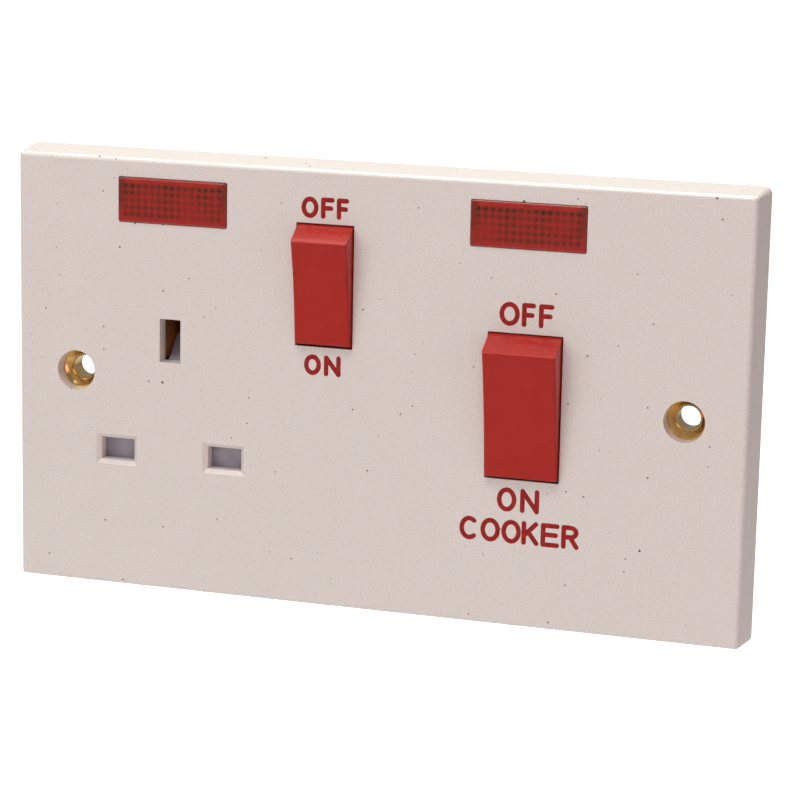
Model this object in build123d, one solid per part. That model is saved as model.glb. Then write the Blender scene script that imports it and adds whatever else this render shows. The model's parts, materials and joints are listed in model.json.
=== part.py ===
# Cooker control unit: a double wall plate with a switched three-pin socket, a cooker switch
# and two neon windows.
# The origin is the centre of the plate's back rim, on the wall: +X to the right seen from the front, +Z up.
# The front faces -Y, and the switch and socket bases reach back along +Y into the wall box.
from build123d import *
import math
import os

# Front plate
PLATE_W = 146.0
PLATE_H = 86.0
PLATE_D = 8.7
PLATE_DRAFT = 5.9
PLATE_CORNER_R = 1.4
PLATE_EDGE_R = 0.9
RIM_WALL = 2.4
RIM_CORNER_R = 1.2
FRONT_WALL = 3.0
RIB_T = 1.3
RIB_SHORT = 2.6
RIB_ROWS = (-34.5, 27.0)

# Fixing holes and their brass bushes
FIXING_SPACING = 120.6
FIXING_HOLE_D = 7.8
FIXING_HOLE_DEPTH = 2.9
BUSH_D = 9.4
BUSH_LENGTH = 5.0
BUSH_BORE_D = 4.4
BUSH_SEAT_D = 7.2
BUSH_SEAT_DEPTH = 1.0
BUSH_STEP_D = 5.2
BUSH_STEP_DEPTH = 0.3
BUSH_MOUTH = 0.15
BUSH_GROOVE = 0.4
BUSH_BOSS_D = 13.0
BUSH_BOSS_SETBACK = 0.3

# Socket apertures
SOCKET_X = -40.7
PIN_ROW_Z = -15.15
PIN_SPACING = 22.2
EARTH_RISE = 22.35
PIN_SLOT_W = 6.9
PIN_SLOT_H = 4.4
PIN_SLOT_FUNNEL = 0.8
EARTH_SLOT_W = 4.3
EARTH_SLOT_H = 8.5
PIN_W = 6.35
EARTH_PIN_H = 8.0

# Neon windows
WINDOW_W = 22.2
WINDOW_H = 8.8
WINDOW_CENTRES = {"left": (-40.3, 34.15), "right": (29.85, 34.15)}
WINDOW_CLEARANCE = 0.1
LENS_PROUD = 0.3
LENS_EDGE_R = 0.35
LENS_WALL = 1.3
LENS_FRONT_T = 1.8
LENS_FLANGE = 1.1
LENS_FLANGE_T = 1.0
WINDOW_LIP = 1.7
LENS_COLUMNS = 14
LENS_ROWS = 5
LENS_PITCH_X = 1.36
LENS_PITCH_Z = 1.18
LENS_GROOVE_DEPTH = 0.5
WINDOW_FRAME_T = 1.2
LAMP_D = 4.0
LAMP_LENGTH = 11.0
LAMP_TIP_D = 1.0
LAMP_TIP_LENGTH = 1.6
LAMP_SETBACK = 2.3
RESISTOR_D = 2.4
RESISTOR_LENGTH = 6.3
RESISTOR_WAIST_D = 2.0
RESISTOR_END_L = 1.5
RESISTOR_CHAMFER = 0.3
LEAD_D = 0.6

# Rockers: each switch's aperture, how far its face stands proud halfway, and its poles' offsets
SOCKET_SWITCH = {"x": -9.52, "z": 20.2, "slot_w": 11.5, "slot_l": 23.6, "proud": 2.8, "poles": (0.0,)}
COOKER_SWITCH = {"x": 29.86, "z": 0.1, "slot_w": 14.5, "slot_l": 27.9, "proud": 3.2, "poles": (-4.0, 4.0)}
HINGE_DEPTH = 5.1
ROCKER_TILT = 8.7
ROCKER_SIDE_GAP = 0.25
ROCKER_END_GAP = 0.1
ROCKER_FACE_INSET = 1.8
ROCKER_DISH = 0.45
ROCKER_BEVEL_DEPTH = 4.7
ROCKER_SKIRT_BACK = 0.9
ROCKER_HEEL_Y = 2.0
ROCKER_HEEL_Z = 3.0
ROCKER_RIB_T = 1.0
SPRING_SEAT_T = 0.3
ROCKER_EDGE_R = 0.5
ROCKER_FACE_T = 1.8
ROCKER_WALL = 1.3
ROCKER_LIP = 0.8
ROCKER_RELIEF = 0.9
ROCKER_SIDE_RELIEF = 0.6
COLLAR_T = 1.6
TRUNNION_D = 3.0
TRUNNION_FIT = 0.05
TRUNNION_SHY = 0.25

# Plungers and see-saw contacts
PLUNGER_D = 2.6
PLUNGER_FIT = 0.1
PLUNGER_REACH = 12.2
PLUNGER_LENGTH = 11.0
PLUNGER_TUBE_D = 4.4
PLUNGER_TUBE_END = 4.0
PLUNGER_PEG_D = 0.9
PLUNGER_PEG_LENGTH = 1.3
SPRING_WIRE = 0.4
SPRING_TURNS = 5
WIRE_SIDES = 6
SEESAW_GAP = 0.4
SEESAW_HUB_R = 1.3
SEESAW_T = 0.9
SEESAW_W = 5.0
SEESAW_BEND = 14.0
SEESAW_RATIO = -0.8
SEESAW_CONTACT_ARM = 7.8
SEESAW_LONG_ARM = 9.8
SEESAW_SHORT_ARM = 7.5
KNIFE_R = 0.5
KNIFE_FIT = 0.08
CONTACT_D = 3.6
CONTACT_RISE = 1.2
CONTACT_DOME_R = 5.0
CONTACT_GAP = 0.15
STRIP_T = 1.0

# Rear bases
BASE_Y = -1.2
CHAMBER_FLOOR_Y = 13.0
CHAMBER_HALF = 12.2
BASE_FLOOR_T = 2.6
BASE_WALL = 1.9
BARRIER_T = 1.2
BASE_CORNER_R = 1.5
COOKER_BASE_HALF_W = 19.5
COOKER_BASE_HALF_H = 29.5
BASE_BACK_Y = 23.0
BARRIER_RISE = 2.0
FLANGE_HALF_W = 18.0
FLANGE_RIGHT = 9.0
FLANGE_BOTTOM_Z = -36.0
FLANGE_TOP_Z = 34.3
LUG_CLEARANCE = 8.0
RAMP_RELIEF = 1.2
NEUTRAL_POST_D = 5.0
NEUTRAL_POST_X = -20.0
NEUTRAL_POST_INSET = 8.0

# Terminals
TERMINAL_W = 9.4
TERMINAL_L = 12.5
TERMINAL_D = 9.5
TERMINAL_BORE_D = 6.2
TERMINAL_OFFSET = 6.9
TERMINAL_GAP = 0.15
CLAMP_SCREW_D = 4.0
CLAMP_SCREW_PITCH = 6.0
TERMINAL_CORNER_R = 0.6
SCREW_FIT = 0.05
SCREW_SLOT_W = 1.0
SCREW_SLOT_DEPTH = 0.9
CLAMP_HEAD_D = 5.8
CLAMP_HEAD_T = 2.0
CLAMP_HEAD_STANDOFF = 0.9
CONDUCTOR_ENTRY_D = 7.4

# Screws that hold the bases to the plate
BASE_SCREW_D = 2.9
BASE_SCREW_HEAD_D = 5.6
BASE_SCREW_HEAD_T = 2.0
BASE_SCREW_LENGTH = 5.4
SCREW_BOSS_D = 6.4
SCREW_BOSS_DEPTH = 4.0
SCREW_HEAD_GAP = 0.3
FLANGE_T = 2.0
SOCKET_BASE_SCREWS = ((-20.5, -30.0), (-20.5, 0.0), (-55.5, -30.0), (-52.0, 18.0))
COOKER_SCREW_OFFSET = (15.5, 22.0)

# Shutter
SHUTTER_T = 2.0
SHUTTER_CORNER_R = 1.0
SHUTTER_FIT = 0.2
SHUTTER_STEM_W = 7.0
SHUTTER_BAR_H = 5.6
SHUTTER_BAR_OVER = 1.0
SHUTTER_COVER = 0.3
SHUTTER_SHOULDER_Z = 1.5
RAMP_W = 3.2
RAMP_FOOT_Z = 2.6
RAMP_RISE = 4.8
RAMP_T = 1.6
SHUTTER_TRAVEL = 4.6
SHUTTER_RAIL = (5.2, 6.7)
SPRING_SHELF_W = 8.0
SPRING_SHELF_Z = -27.5
SHUTTER_SPRING_D = 2.0
SHUTTER_SPRING_WIRE = 0.35
SHUTTER_SPRING_TURNS = 7
SPRING_PEG_D = 1.1
SPRING_PEG_LENGTH = 2.0

# Socket contacts
LEAF_T = 0.8
LEAF_GRIP = 3.5
LEAF_MOUTH = 5.0
LEAF_SETBACK = 0.8
LEAF_CLEARANCE = 0.4
LEAF_GRIP_LENGTH = 1.6
PIN_LIP_LENGTH = 2.4
PIN_LEG_LENGTH = 2.4
PIN_WELL_W = 8.4
PIN_WELL_H = 8.4
PIN_WELL_FLOOR_Y = 13.0
EARTH_GRIP = 3.7
EARTH_MOUTH = 4.5
EARTH_LIP_GAP = 0.4
EARTH_LIP_LENGTH = 4.8
EARTH_LEG_LENGTH = 3.2
EARTH_WELL_W = 8.6
EARTH_WELL_H = 9.4
EARTH_WELL_FLOOR_Y = 15.8
WELL_WALL = 1.8

# Links between the contacts
LINK_T = 0.8
LINK_W = 5.0
TAIL_W = 3.0
TAIL_T = 1.0
TAIL_STANDOUT = 0.8
TAIL_OFFSET = 4.5
TAIL_FIT = 0.1
NEUTRAL_LINK_Y = 21.0
CROSSING_X = 5.0
NEUTRAL_RUN_Z = -21.0
EARTH_TERMINALS_Z = -29.9
EARTH_TERMINAL_OFFSET = 6.2
EARTH_BLOCK_BACK_Y = 18.4

# Lamp holders
HOLDER_WALL = 1.0
SADDLE_INSET = 0.8
LAMP_TIP_X = -10.4
LAMP_GAP = 2.6
LAMP_FIT = 0.1
LAMP_SADDLES = (-6.5, -1.5)
RESISTOR_SADDLES = (4.0, 8.7)

# Lamp leads
LEAD_OUT = 2.2
LEAD_STEP = 1.2
LEAD_DROP = 5.0
LEAD_SPREAD = 2.0
LEAD_NOTCH_GAP = 0.6

# Values worked out from the sizes above
FRONT_Y = -PLATE_D
INNER_Y = FRONT_Y + FRONT_WALL
HINGE_Y = FRONT_Y + HINGE_DEPTH
EARTH_Z = PIN_ROW_Z + EARTH_RISE
SEESAW_Y = HINGE_Y + PLUNGER_REACH + SEESAW_GAP + SEESAW_HUB_R
PIN_XS = (SOCKET_X - PIN_SPACING / 2, SOCKET_X + PIN_SPACING / 2)
SHUTTER_TOP_Z = PIN_ROW_Z + PIN_SLOT_H / 2 + SHUTTER_COVER
STRIP_REACH = CHAMBER_HALF + BASE_WALL + TERMINAL_GAP + TERMINAL_L
BASE_REAR_Y = CHAMBER_FLOOR_Y + BASE_FLOOR_T
FLANGE_REAR_Y = BASE_Y + FLANGE_T
EARTH_REAR_Y = EARTH_WELL_FLOOR_Y + BASE_FLOOR_T
EARTH_SHELF_Y = EARTH_BLOCK_BACK_Y - TERMINAL_D
LINK_TAIL_Y = BASE_REAR_Y + LINK_T + TAIL_STANDOUT
NEUTRAL_TAIL_Y = NEUTRAL_LINK_Y + LINK_T + TAIL_STANDOUT
COOKER_BASE_SCREWS = tuple(
    (COOKER_SWITCH["x"] + i * COOKER_SCREW_OFFSET[0], COOKER_SWITCH["z"] + j * COOKER_SCREW_OFFSET[1])
    for i in (-1, 1) for j in (-1, 1)
)


def prism(x, z, width, height, y_front, y_back, corner=0.0, taper=0.0):
    """A rectangular prism between two depths; a taper narrows it towards the front."""
    outline = RectangleRounded(width, height, corner) if corner else Rectangle(width, height)
    return Pos(x, y_back, z) * extrude(Plane.XZ * outline, y_back - y_front, taper=taper)


def slab(x_left, x_right, y_front, y_back, z_low, z_high):
    """A plain slab between six limits."""
    middle = ((x_left + x_right) / 2, (y_front + y_back) / 2, (z_low + z_high) / 2)
    return Pos(*middle) * Box(x_right - x_left, y_back - y_front, z_high - z_low)


def rod_x(y, z, diameter, x_left, x_right):
    return Pos(x_left, y, z) * extrude(Plane.YZ * Circle(diameter / 2), x_right - x_left)


def rod_y(x, z, diameter, y_front, y_back):
    return Pos(x, y_back, z) * extrude(Plane.XZ * Circle(diameter / 2), y_back - y_front)


def rod_z(x, y, diameter, z_low, z_high):
    return Pos(x, y, z_low) * extrude(Plane.XY * Circle(diameter / 2), z_high - z_low)


def ribbon(points, thickness, width, plane):
    """A strip of sheet bent along points in a plane, with its width along that plane's normal."""
    face = plane * trace(Polyline(*points), thickness)
    return extrude(face, width / 2, both=True)


def bent_wire(points, diameter):
    """A round wire along straight runs, with a sharp bend at each point between them."""
    path = Polyline(*points)
    section = Plane(origin=path @ 0, z_dir=path % 0) * Circle(diameter / 2)
    return sweep(section, path=path, transition=Transition.RIGHT)


def coil_spring(wire, mean_d, length, turns):
    """A compression spring of six-sided wire, standing on the origin along +Z."""
    helix = Helix(pitch=(length - wire) / turns, height=length - wire, radius=mean_d / 2)
    section = Plane(origin=helix @ 0, z_dir=helix % 0) * RegularPolygon(wire / 2, WIRE_SIDES)
    return Pos(0, 0, wire / 2) * sweep(section, path=helix, is_frenet=True)


# Front plate

def plate_shell():
    """The drafted plate, rounded round its front edge and hollow behind its face."""
    back = RectangleRounded(PLATE_W, PLATE_H, PLATE_CORNER_R)
    body = extrude(Plane.XZ * back, PLATE_D, taper=PLATE_DRAFT)
    body = fillet(body.faces().sort_by(Axis.Y)[0].edges(), PLATE_EDGE_R)
    inner = RectangleRounded(PLATE_W - 2 * RIM_WALL, PLATE_H - 2 * RIM_WALL, RIM_CORNER_R)
    return body - extrude(Plane.XZ * inner, PLATE_D - FRONT_WALL, taper=PLATE_DRAFT)


def plate_ribs():
    """Low ribs across the back of the face, and deep ones that tie the fixing bosses to the rim."""
    ribs = Part()
    reach = PLATE_W / 2 - RIM_WALL / 2
    for z in RIB_ROWS:
        ribs += slab(-reach, reach, INNER_Y, INNER_Y + RIB_SHORT, z - RIB_T / 2, z + RIB_T / 2)
    for side in (-1, 1):
        inner_x, outer_x = sorted((side * FIXING_SPACING / 2, side * reach))
        ribs += slab(inner_x, outer_x, INNER_Y, -BUSH_BOSS_SETBACK, -RIB_T / 2, RIB_T / 2)
        ribs += rod_y(side * FIXING_SPACING / 2, 0, BUSH_BOSS_D, INNER_Y, -BUSH_BOSS_SETBACK)
    return ribs


def rocker_collar(switch):
    """The wall round a rocker's relief, which reaches back to the base and carries the trunnion notches."""
    width = switch["slot_w"] + 2 * (ROCKER_SIDE_RELIEF + COLLAR_T)
    length = switch["slot_l"] + 2 * (ROCKER_RELIEF + COLLAR_T)
    return prism(switch["x"], switch["z"], width, length, INNER_Y, BASE_Y, COLLAR_T)


def rocker_opening(switch):
    """The aperture, the relief behind its lip, and a notch on each side for the trunnions."""
    x, z = switch["x"], switch["z"]
    width = switch["slot_w"] + 2 * ROCKER_SIDE_RELIEF
    length = switch["slot_l"] + 2 * ROCKER_RELIEF
    cut = prism(x, z, switch["slot_w"], switch["slot_l"], FRONT_Y, BASE_Y)
    cut += prism(x, z, width, length, FRONT_Y + ROCKER_LIP, BASE_Y)
    notch = TRUNNION_D + 2 * TRUNNION_FIT
    half = width / 2 + COLLAR_T
    cut += rod_x(HINGE_Y, z, notch, x - half, x + half)
    return cut + slab(x - half, x + half, HINGE_Y, BASE_Y, z - notch / 2, z + notch / 2)


def pin_slot(x, z, width, height, funnel):
    """A pin aperture through the face, with a funnel round its mouth."""
    cut = prism(x, z, width, height, FRONT_Y, INNER_Y)
    if funnel:
        wide = Plane.XZ.offset(-FRONT_Y) * Pos(x, z) * Rectangle(width + 2 * funnel, height + 2 * funnel)
        narrow = Plane.XZ.offset(-FRONT_Y - funnel) * Pos(x, z) * Rectangle(width, height)
        cut += loft([wide, narrow])
    return cut


def window_frame(centre):
    """The raised frame behind a neon window, which takes the lens's flange and the lamp holder."""
    return prism(*centre, *frame_size(WINDOW_FRAME_T), INNER_Y, BASE_Y, WINDOW_FRAME_T)


def frame_size(grow):
    """Width and height of the lens's seat, grown on every side."""
    margin = 2 * (LENS_FLANGE + WINDOW_CLEARANCE + grow)
    return WINDOW_W + margin, WINDOW_H + margin


def window_opening(centre):
    cut = prism(*centre, WINDOW_W, WINDOW_H, FRONT_Y, BASE_Y, LENS_EDGE_R)
    return cut + prism(*centre, *frame_size(0), FRONT_Y + WINDOW_LIP, BASE_Y)


def bush_socket(side):
    """The stepped hole for a fixing screw and its bush."""
    x = side * FIXING_SPACING / 2
    seat = FRONT_Y + FIXING_HOLE_DEPTH
    return rod_y(x, 0, FIXING_HOLE_D, FRONT_Y, seat) + rod_y(x, 0, BUSH_D, seat, 0)


def shutter_guides():
    """Two guides beside the shutter's stem, whose lower ends stop its crossbar, and the spring's shelf."""
    guides = Part()
    for side in (-1, 1):
        inner = SOCKET_X + side * (SHUTTER_STEM_W / 2 + SHUTTER_FIT)
        left, right = sorted((inner, inner + side * RIB_T))
        guides += slab(left, right, INNER_Y, BASE_Y, SHUTTER_TOP_Z + SHUTTER_FIT, SHUTTER_SHOULDER_Z)
    left, right = SOCKET_X - SPRING_SHELF_W / 2, SOCKET_X + SPRING_SHELF_W / 2
    return guides + slab(left, right, INNER_Y, BASE_Y, SPRING_SHELF_Z - RIB_T, SPRING_SHELF_Z)


def faceplate():
    plate = plate_shell() + plate_ribs() + shutter_guides()
    for switch in (SOCKET_SWITCH, COOKER_SWITCH):
        plate += rocker_collar(switch)
    for centre in WINDOW_CENTRES.values():
        plate += window_frame(centre)
    for x, z in SOCKET_BASE_SCREWS + COOKER_BASE_SCREWS:
        plate += rod_y(x, z, SCREW_BOSS_D, INNER_Y, BASE_Y)
        plate -= rod_y(x, z, BASE_SCREW_D + 2 * SCREW_FIT, BASE_Y - SCREW_BOSS_DEPTH, BASE_Y)
    for switch in (SOCKET_SWITCH, COOKER_SWITCH):
        plate -= rocker_opening(switch)
    for name, centre in WINDOW_CENTRES.items():
        plate -= window_opening(centre)
        plate -= lead_notch(name)
    for x in PIN_XS:
        plate -= pin_slot(x, PIN_ROW_Z, PIN_SLOT_W, PIN_SLOT_H, PIN_SLOT_FUNNEL)
    plate -= pin_slot(SOCKET_X, EARTH_Z, EARTH_SLOT_W, EARTH_SLOT_H, 0)
    return plate - bush_socket(-1) - bush_socket(1)


def lead_notch(name):
    """The gap in the window frame that the lamp's leads leave by."""
    x, z = WINDOW_CENTRES[name]
    edge = x + frame_size(0)[0] / 2
    left, right = edge - WINDOW_FRAME_T, edge + 2 * WINDOW_FRAME_T
    half = LEAD_SPREAD + LEAD_D
    return slab(left, right, lead_notch_y(), BASE_Y, z - half, z + half)


def lead_notch_y():
    """Depth of the front of the gaps that the leads pass through."""
    return lamp_y() - LEAD_D / 2 - LEAD_NOTCH_GAP


def screw_bush(side):
    """A turned brass bush: a countersunk seat, a shallow step, a bore and a retaining groove outside."""
    bore, step, outside = BUSH_BORE_D / 2, BUSH_STEP_D / 2, BUSH_D / 2
    step_y = BUSH_SEAT_DEPTH + BUSH_STEP_DEPTH
    groove_y = BUSH_LENGTH / 2
    outline = [
        (bore, BUSH_LENGTH), (bore, step_y + BUSH_MOUTH), (bore + BUSH_MOUTH, step_y), (step, step_y),
        (step, BUSH_SEAT_DEPTH), (BUSH_SEAT_D / 2, 0), (outside, 0), (outside, groove_y - BUSH_GROOVE),
        (outside - BUSH_GROOVE, groove_y - BUSH_GROOVE), (outside - BUSH_GROOVE, groove_y + BUSH_GROOVE),
        (outside, groove_y + BUSH_GROOVE), (outside, BUSH_LENGTH),
    ]
    turned = revolve(make_face(Polyline(*outline, close=True)), axis=Axis.Y)
    return Pos(side * FIXING_SPACING / 2, FRONT_Y + FIXING_HOLE_DEPTH, 0) * turned


# Neon windows

def lens_cavity(x, z, width, height, floor_y, back_y):
    """The hollow in a lens, whose floor is cut by crossed V grooves into rows of small pyramids."""
    half_x, half_z, depth = LENS_PITCH_X / 2, LENS_PITCH_Z / 2, LENS_GROOVE_DEPTH
    upright = make_face(Polyline((-half_x, 0), (0, -depth), (half_x, 0), close=True))
    upright_bar = extrude(upright, height / 2, both=True)
    level = Plane.YZ * make_face(Polyline((0, -half_z), (-depth, 0), (0, half_z), close=True))
    level_bar = extrude(level, width / 2, both=True)
    cavity = prism(x, z, width, height, floor_y, back_y)
    for column in range(LENS_COLUMNS):
        cavity += Pos(x + (column + 0.5 - LENS_COLUMNS / 2) * LENS_PITCH_X, floor_y, z) * upright_bar
    for row in range(LENS_ROWS):
        cavity += Pos(x, floor_y, z + (row + 0.5 - LENS_ROWS / 2) * LENS_PITCH_Z) * level_bar
    return cavity


def lens(name):
    """A window cap with a flange behind it, hollow behind its face."""
    x, z = WINDOW_CENTRES[name]
    width, height = WINDOW_W - 2 * WINDOW_CLEARANCE, WINDOW_H - 2 * WINDOW_CLEARANCE
    front = FRONT_Y - LENS_PROUD
    seat = FRONT_Y + WINDOW_LIP
    back = seat + LENS_FLANGE_T
    body = prism(x, z, width, height, front, back, LENS_EDGE_R)
    body = fillet(body.faces().sort_by(Axis.Y)[0].edges(), LENS_EDGE_R)
    body += prism(x, z, WINDOW_W + 2 * LENS_FLANGE, WINDOW_H + 2 * LENS_FLANGE, seat, back)
    inner_w, inner_h = width - 2 * LENS_WALL, height - 2 * LENS_WALL
    return body - lens_cavity(x, z, inner_w, inner_h, front + LENS_FRONT_T, back)


def saddle(x, z, height, front_y, diameter):
    """A wall across a lamp tray with a round-footed slot, open behind, for a lamp or its resistor."""
    left, right = x - HOLDER_WALL / 2, x + HOLDER_WALL / 2
    wall = slab(left, right, front_y, BASE_Y, z - height / 2, z + height / 2)
    wall -= rod_x(lamp_y(), z, diameter, left, right)
    return wall - slab(left, right, lamp_y(), BASE_Y, z - diameter / 2, z + diameter / 2)


def lamp_holder(name):
    """The moulded tray that plugs in behind a lens, with saddles for the lamp and its resistor."""
    x, z = WINDOW_CENTRES[name]
    width, height = frame_size(-WINDOW_CLEARANCE)
    front = FRONT_Y + WINDOW_LIP + LENS_FLANGE_T
    tray = prism(x, z, width, height, front, BASE_Y)
    tray -= prism(x, z, width - 2 * HOLDER_WALL, height - 2 * HOLDER_WALL, front, BASE_Y)
    for offset in LAMP_SADDLES + RESISTOR_SADDLES:
        diameter = (LAMP_D if offset in LAMP_SADDLES else RESISTOR_D) + 2 * LAMP_FIT
        tray += saddle(x + offset, z, height, front + SADDLE_INSET, diameter)
    edge = x + width / 2
    start = x + RESISTOR_SADDLES[0] - HOLDER_WALL
    tray -= rod_x(lamp_y(), z - LEAD_SPREAD, LEAD_D + 2 * LAMP_FIT, start, edge)
    half = LEAD_SPREAD + LEAD_D
    return tray - slab(edge - 2 * HOLDER_WALL, edge, lead_notch_y(), BASE_Y, z - half, z + half)


def lamp_y():
    """Depth of the lamps' centre line, behind the lens flange."""
    return FRONT_Y + WINDOW_LIP + LENS_FLANGE_T + LAMP_SETBACK


def turned_x(outline, x, y, z):
    """A solid turned about a line along X from an outline of distances along it and radii."""
    section = make_face(Polyline(*outline, (outline[-1][0], 0), (outline[0][0], 0), close=True))
    return Pos(x, y, z) * revolve(section, axis=Axis.X)


def neon_lamp(name):
    """A neon lamp: a glass tube drawn down to a sealed tip."""
    x, z = WINDOW_CENTRES[name]
    outline = [(0, LAMP_TIP_D / 2), (LAMP_TIP_LENGTH, LAMP_D / 2), (LAMP_LENGTH, LAMP_D / 2)]
    return turned_x(outline, x + LAMP_TIP_X, lamp_y(), z)


def lamp_resistor(name):
    """The lamp's series resistor, with a waist between its two round ends."""
    x, z = WINDOW_CENTRES[name]
    full, waist, end = RESISTOR_D / 2, RESISTOR_WAIST_D / 2, RESISTOR_CHAMFER
    half = [(0, full - end), (end, full), (RESISTOR_END_L, full), (RESISTOR_END_L + end, waist)]
    outline = half + [(RESISTOR_LENGTH - along, radius) for along, radius in reversed(half)]
    return turned_x(outline, x + LAMP_TIP_X + LAMP_LENGTH + LAMP_GAP, lamp_y(), z)


# Rockers

def rocker_profile(switch, inset, face_t):
    """A rocker's side outline: a dished face, bevels, ends on an arc about the hinge, and a V-shaped foot."""
    face_y = face_t - HINGE_DEPTH - switch["proud"]
    half = switch["slot_l"] / 2 - ROCKER_FACE_INSET - inset
    reach = math.hypot(switch["slot_l"] / 2 - ROCKER_END_GAP, HINGE_DEPTH - ROCKER_LIP) - inset
    shoulder_y = face_y + ROCKER_BEVEL_DEPTH - face_t
    depths = (shoulder_y, (shoulder_y - ROCKER_SKIRT_BACK) / 2, -ROCKER_SKIRT_BACK)
    end = [(y, math.sqrt(reach**2 - y**2)) for y in depths]
    heel = (PLUNGER_TUBE_END, reach) if inset else (ROCKER_HEEL_Y, ROCKER_HEEL_Z)
    outline = ThreePointArc((face_y, -half), (face_y + ROCKER_DISH, 0), (face_y, half))
    for side in (-1, 1):
        arc = [(y, side * z) for y, z in end]
        outline += Line((face_y, side * half), arc[0]) + ThreePointArc(*arc)
        outline += Line(arc[-1], (heel[0], side * heel[1]))
    outline += Line(heel, (heel[0], -heel[1]))
    return Plane.YZ * make_face(outline)


def rocker(switch):
    """A hollow rocker with trunnions at its sides and a plunger tube for each pole."""
    width = switch["slot_w"] - 2 * ROCKER_SIDE_GAP
    body = extrude(rocker_profile(switch, 0, 0), width / 2, both=True)
    face = body.faces().sort_by(Axis.Y)[0]
    body = fillet(face.edges(), ROCKER_EDGE_R)
    inner_w = width - 2 * ROCKER_WALL
    body -= extrude(rocker_profile(switch, ROCKER_WALL, ROCKER_FACE_T), inner_w / 2, both=True)
    inner_y = ROCKER_FACE_T - HINGE_DEPTH - switch["proud"]
    reach = switch["slot_l"] / 2 - ROCKER_WALL
    half = ROCKER_RIB_T / 2
    for pole in switch["poles"]:
        body += rod_y(pole, 0, PLUNGER_TUBE_D, inner_y, PLUNGER_TUBE_END)
        body += slab(pole - half, pole + half, inner_y, -ROCKER_SKIRT_BACK, -reach, reach)
    for pole in switch["poles"]:
        body -= rod_y(pole, 0, PLUNGER_D + 2 * PLUNGER_FIT, spring_seat_y(switch), PLUNGER_TUBE_END)
    tip = width / 2 + ROCKER_SIDE_RELIEF + ROCKER_SIDE_GAP + COLLAR_T - TRUNNION_SHY
    for side in (-1, 1):
        left, right = sorted((side * (width / 2 - ROCKER_WALL), side * tip))
        body += rod_x(0, 0, TRUNNION_D, left, right)
    return on_rocker(switch, body)


def spring_seat_y(switch):
    """Where a plunger's bore ends behind the rocker's face, in the rocker's own frame."""
    return ROCKER_FACE_T + ROCKER_DISH - HINGE_DEPTH - switch["proud"] + SPRING_SEAT_T


def on_rocker(switch, solid):
    """Turns a solid from the rocker's own frame to its ON position and sets it on the hinge."""
    return Pos(switch["x"], HINGE_Y, switch["z"]) * Rot(ROCKER_TILT, 0, 0) * solid


def plunger(switch, pole):
    """A domed pin with a peg at its foot that keeps its spring central."""
    start = PLUNGER_REACH - PLUNGER_LENGTH
    pin = rod_y(pole, 0, PLUNGER_D, start, PLUNGER_REACH - PLUNGER_D / 2)
    pin += Pos(pole, PLUNGER_REACH - PLUNGER_D / 2, 0) * Sphere(PLUNGER_D / 2)
    pin += rod_y(pole, 0, PLUNGER_PEG_D, start - PLUNGER_PEG_LENGTH, start)
    return on_rocker(switch, pin)


def plunger_spring(switch, pole):
    seat = spring_seat_y(switch)
    length = PLUNGER_REACH - PLUNGER_LENGTH - seat
    spring = coil_spring(SPRING_WIRE, PLUNGER_D - SPRING_WIRE - PLUNGER_FIT, length, SPRING_TURNS)
    return on_rocker(switch, Pos(pole, seat, 0) * Rot(-90, 0, 0) * spring)


# Switch contacts

def seesaw_point(along, out, end=1):
    """Depth and height of a point on a see-saw, from its distances along an arm and before the pivot."""
    bend = math.radians(SEESAW_BEND)
    y = -along * math.sin(bend) - out * math.cos(bend)
    return y, end * (along * math.cos(bend) - out * math.sin(bend))


def seesaw(switch, pole):
    """A bent brass see-saw: two arms tangent to a notched hub, and a domed contact on the long arm."""
    back = SEESAW_HUB_R - SEESAW_T
    outline = Circle(SEESAW_HUB_R)
    for end, length in ((1, SEESAW_LONG_ARM), (-1, SEESAW_SHORT_ARM)):
        corners = [seesaw_point(0, back, end), seesaw_point(0, SEESAW_HUB_R, end)]
        corners += [seesaw_point(length, SEESAW_HUB_R, end), seesaw_point(length, back, end)]
        outline += make_face(Polyline(*corners, close=True))
    notch, flare = KNIFE_R + KNIFE_FIT, 2 * SEESAW_HUB_R
    outline -= Circle(notch)
    outline -= make_face(Polyline((0, notch), (flare, flare), (flare, -flare), (0, -notch), close=True))
    arms = extrude(Plane.YZ * outline, SEESAW_W / 2, both=True)
    y, z = seesaw_point(SEESAW_CONTACT_ARM, back)
    bend = math.radians(SEESAW_BEND)
    button = Cylinder(CONTACT_D / 2, CONTACT_RISE, align=(Align.CENTER, Align.CENTER, Align.MIN))
    button &= Pos(0, 0, CONTACT_RISE - CONTACT_DOME_R) * Sphere(CONTACT_DOME_R)
    arms += Plane(origin=(0, y, z), z_dir=(0, math.cos(bend), math.sin(bend))) * button
    return Pos(switch["x"] + pole, SEESAW_Y, switch["z"]) * Rot(SEESAW_RATIO * ROCKER_TILT, 0, 0) * arms


def closed_contact_y():
    """Depth of a fixed contact's face: just behind the domed contact when the switch is on."""
    y, z = seesaw_point(SEESAW_CONTACT_ARM, SEESAW_HUB_R - SEESAW_T - CONTACT_RISE + CONTACT_DOME_R)
    turn = math.radians(SEESAW_RATIO * ROCKER_TILT)
    return SEESAW_Y + y * math.cos(turn) - z * math.sin(turn) + CONTACT_DOME_R + CONTACT_GAP


def closed_contact_z():
    """Height of the closed contacts above the see-saw's pivot."""
    y, z = seesaw_point(SEESAW_CONTACT_ARM, SEESAW_HUB_R - SEESAW_T - CONTACT_RISE + CONTACT_DOME_R)
    turn = math.radians(SEESAW_RATIO * ROCKER_TILT)
    return y * math.sin(turn) + z * math.cos(turn)


def tail(x, z, front_y, back_y):
    """A tail through the base's floor for a link to fit over."""
    return slab(x - TAIL_W / 2, x + TAIL_W / 2, front_y, back_y, z - TAIL_T / 2, z + TAIL_T / 2)


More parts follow.
